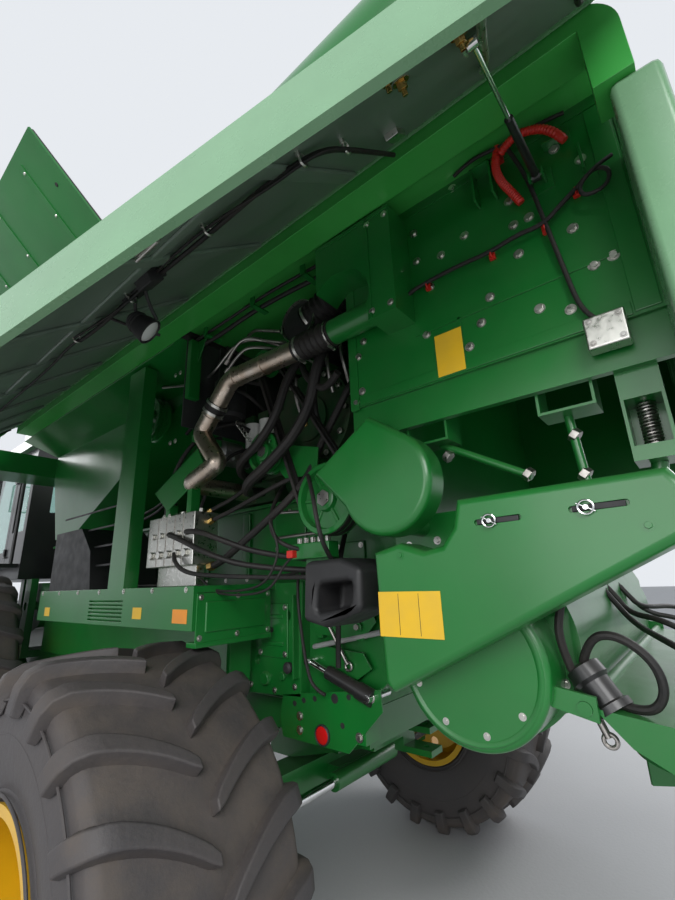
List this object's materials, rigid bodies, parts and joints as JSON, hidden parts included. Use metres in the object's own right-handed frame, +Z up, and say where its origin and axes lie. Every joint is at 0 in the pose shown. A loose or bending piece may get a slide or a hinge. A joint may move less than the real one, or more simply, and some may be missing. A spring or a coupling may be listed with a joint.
{
  "type": "combine harvester",
  "caption": "Self-propelled combine harvester, shown without a header, side panels raised and tank covers open over the folded unloading auger.",
  "frame": {"origin": "on the ground under the middle of the machine's bounding box", "axes": "-Y forwards, +X to the machine's left, +Z up"},
  "size_m": [4.7608, 8.86, 4.2007],
  "materials": {
    "green_paint": "semi-gloss green paint, dusty",
    "pale_green_paint": "gloss pale green paint",
    "yellow_paint": "gloss yellow paint",
    "black_plastic": "moulded black plastic",
    "tyre": "dusty dark rubber",
    "cab_glass": "tinted clear glass",
    "dark_steel": "dark grey painted sheet",
    "black_steel": "satin black paint",
    "engine_casting": "painted rough casting",
    "cast_pulley": "painted pulleys with bright grooves",
    "coated_pipe": "aluminised tube",
    "machined_steel": "plated block",
    "chromed_rod": "hard chrome"
  },
  "bodies": {
    "chassis": {"air_box": "black_plastic", "cab_glass": "cab_glass", "cab_roof": "green_paint", "cab_shell": "black_steel", "chopper_cover": "green_paint", "chopper_housing": "green_paint", "cooling_box": "dark_steel", "drive_pulleys": "cast_pulley", "engine_block": "engine_casting", "engine_pipes": "coated_pipe", "front_axle": "black_steel", "grain_tank": "green_paint", "hitch_bracket": "green_paint", "landing": "black_steel", "main_frame": "green_paint", "rear_axle": "green_paint", "rear_fascia": "pale_green_paint", "roof_rails": "pale_green_paint", "seat_console": "black_plastic", "separator_body": "green_paint", "side_shelves": "green_paint", "side_tanks": "black_plastic", "straw_hood": "green_paint", "upper_drive_cover": "green_paint", "valve_block": "machined_steel"},
    "wheel_front_left": {"front_tyre_left": "tyre", "front_rim_left": "yellow_paint"},
    "wheel_front_right": {"front_tyre_right": "tyre", "front_rim_right": "yellow_paint"},
    "knuckle_left": {"steering_knuckle_left": "green_paint"},
    "knuckle_right": {"steering_knuckle_right": "green_paint"},
    "wheel_rear_left": {"rear_tyre_left": "tyre", "rear_rim_left": "yellow_paint"},
    "wheel_rear_right": {"rear_tyre_right": "tyre", "rear_rim_right": "yellow_paint"},
    "steering_rod": {"steering_rod": "chromed_rod"},
    "feeder": {"feeder_house": "green_paint"},
    "lift_barrels": {"lift_barrels": "black_steel"},
    "lift_rods": {"lift_rods": "chromed_rod"},
    "tank_cover_left": {"tank_cover_left": "green_paint"},
    "tank_cover_right": {"tank_cover_right": "green_paint"},
    "auger": {"unloading_auger": "green_paint"},
    "cab_door": {"cab_door": "black_steel", "cab_door_glass": "cab_glass"},
    "ladder": {"ladder": "black_steel"},
    "panel_left": {"side_panel_left": "green_paint"},
    "panel_right": {"side_panel_right": "green_paint"},
    "strut_barrel_left": {"strut_barrel_left": "black_steel"},
    "strut_barrel_right": {"strut_barrel_right": "black_steel"},
    "strut_rod_left": {"strut_rod_left": "chromed_rod"},
    "strut_rod_right": {"strut_rod_right": "chromed_rod"},
    "tailboard": {"tailboard": "green_paint"},
    "spreader_left": {"spreader_disc_left": "dark_steel"},
    "spreader_right": {"spreader_disc_right": "dark_steel"},
    "rotary_screen": {"rotary_screen": "dark_steel"}
  },
  "joints": [
    {"name": "wheel_front_left", "type": "hinge", "parent": "chassis", "child": "wheel_front_left", "pos_m": [1.37, -2.33, 1.03], "axis": [1, 0, 0], "continuous": true},
    {"name": "wheel_front_right", "type": "hinge", "parent": "chassis", "child": "wheel_front_right", "pos_m": [-1.37, -2.33, 1.03], "axis": [1, 0, 0], "continuous": true},
    {"name": "steer_left", "type": "hinge", "parent": "chassis", "child": "knuckle_left", "pos_m": [0.95, 1.33, 0.81], "axis": [0, 0, 1], "range_deg": [-25, 25]},
    {"name": "wheel_rear_left", "type": "hinge", "parent": "knuckle_left", "child": "wheel_rear_left", "pos_m": [1.42, 1.33, 0.81], "axis": [1, 0, 0], "continuous": true},
    {"name": "steer_right", "type": "hinge", "parent": "chassis", "child": "knuckle_right", "pos_m": [-0.95, 1.33, 0.81], "axis": [0, 0, 1], "range_deg": [-25, 25]},
    {"name": "wheel_rear_right", "type": "hinge", "parent": "knuckle_right", "child": "wheel_rear_right", "pos_m": [-1.42, 1.33, 0.81], "axis": [1, 0, 0], "continuous": true},
    {"name": "steering_slide", "type": "slide", "parent": "chassis", "child": "steering_rod", "axis": [1, 0, 0], "range_m": [-0.094, 0.094]},
    {"name": "feeder_lift", "type": "hinge", "parent": "chassis", "child": "feeder", "pos_m": [0, -2.15, 1.72], "axis": [-1, 0, 0], "range_deg": [-8, 14]},
    {"name": "lift_barrel_turn", "type": "hinge", "parent": "chassis", "child": "lift_barrels", "pos_m": [0, -2.52, 0.9], "axis": [-1, 0, 0], "range_deg": [-10.6, 18.5]},
    {"name": "lift_rod_slide", "type": "slide", "parent": "lift_barrels", "child": "lift_rods", "axis": [0, -0.9987, 0.0512], "range_m": [-0.121, 0.211]},
    {"name": "tank_cover_left", "type": "hinge", "parent": "chassis", "child": "tank_cover_left", "pos_m": [1.228, -0.075, 3.345], "axis": [0, -1, 0], "range_deg": [0, 124.8]},
    {"name": "tank_cover_right", "type": "hinge", "parent": "chassis", "child": "tank_cover_right", "pos_m": [-1.228, -0.075, 3.345], "axis": [0, 1, 0], "range_deg": [0, 124.8]},
    {"name": "auger_swing", "type": "hinge", "parent": "chassis", "child": "auger", "pos_m": [1.535, -1.7, 3.195], "axis": [0, 0, -1], "range_deg": [0, 90]},
    {"name": "cab_door", "type": "hinge", "parent": "chassis", "child": "cab_door", "pos_m": [0.912, -2.748, 2.77], "axis": [0, 0, 1], "range_deg": [0, 85]},
    {"name": "ladder_swing", "type": "hinge", "parent": "chassis", "child": "ladder", "pos_m": [1, -3.5, 2], "axis": [0, 0, -1], "range_deg": [0, 90]},
    {"name": "panel_left", "type": "hinge", "parent": "chassis", "child": "panel_left", "pos_m": [1.3745, 1.15, 3.29], "axis": [0, 1, 0], "range_deg": [0, 41.5]},
    {"name": "strut_turn_left", "type": "hinge", "parent": "chassis", "child": "strut_barrel_left", "pos_m": [1.14, 3.19, 3.07], "axis": [0, 1, 0], "range_deg": [0, 25.9]},
    {"name": "strut_slide_left", "type": "slide", "parent": "strut_barrel_left", "child": "strut_rod_left", "axis": [0.9956, 0, -0.0938], "range_m": [-0.197, 0]},
    {"name": "panel_right", "type": "hinge", "parent": "chassis", "child": "panel_right", "pos_m": [-1.3745, 1.15, 3.29], "axis": [0, -1, 0], "range_deg": [0, 41.5]},
    {"name": "strut_turn_right", "type": "hinge", "parent": "chassis", "child": "strut_barrel_right", "pos_m": [-1.14, 3.19, 3.07], "axis": [0, -1, 0], "range_deg": [0, 25.9]},
    {"name": "strut_slide_right", "type": "slide", "parent": "strut_barrel_right", "child": "strut_rod_right", "axis": [-0.9956, 0, -0.0938], "range_m": [-0.197, 0]},
    {"name": "tailboard", "type": "hinge", "parent": "chassis", "child": "tailboard", "pos_m": [0, 3.03, 1.52], "axis": [1, 0, 0], "range_deg": [-10, 25]},
    {"name": "spreader_left", "type": "hinge", "parent": "tailboard", "child": "spreader_left", "pos_m": [0.43, 3.3, 1.29], "axis": [0, 0, 1], "continuous": true},
    {"name": "spreader_right", "type": "hinge", "parent": "tailboard", "child": "spreader_right", "pos_m": [-0.43, 3.3, 1.29], "axis": [0, 0, 1], "continuous": true},
    {"name": "rotary_screen", "type": "hinge", "parent": "chassis", "child": "rotary_screen", "pos_m": [-1.195, 1.85, 2.76], "axis": [1, 0, 0], "continuous": true}
  ],
  "couplings": [
    {"joint": "steer_right", "follows": "steer_left", "ratio": 1},
    {"joint": "steering_slide", "follows": "steer_left", "m_per_rad": -0.2138},
    {"joint": "lift_barrel_turn", "follows": "feeder_lift", "ratio": 1.3087},
    {"joint": "lift_rod_slide", "follows": "feeder_lift", "m_per_rad": 0.85877},
    {"joint": "strut_turn_left", "follows": "panel_left", "ratio": 0.61984},
    {"joint": "strut_slide_left", "follows": "panel_left", "m_per_rad": -0.2712},
    {"joint": "strut_turn_right", "follows": "panel_right", "ratio": 0.61984},
    {"joint": "strut_slide_right", "follows": "panel_right", "m_per_rad": -0.2712}
  ]
}
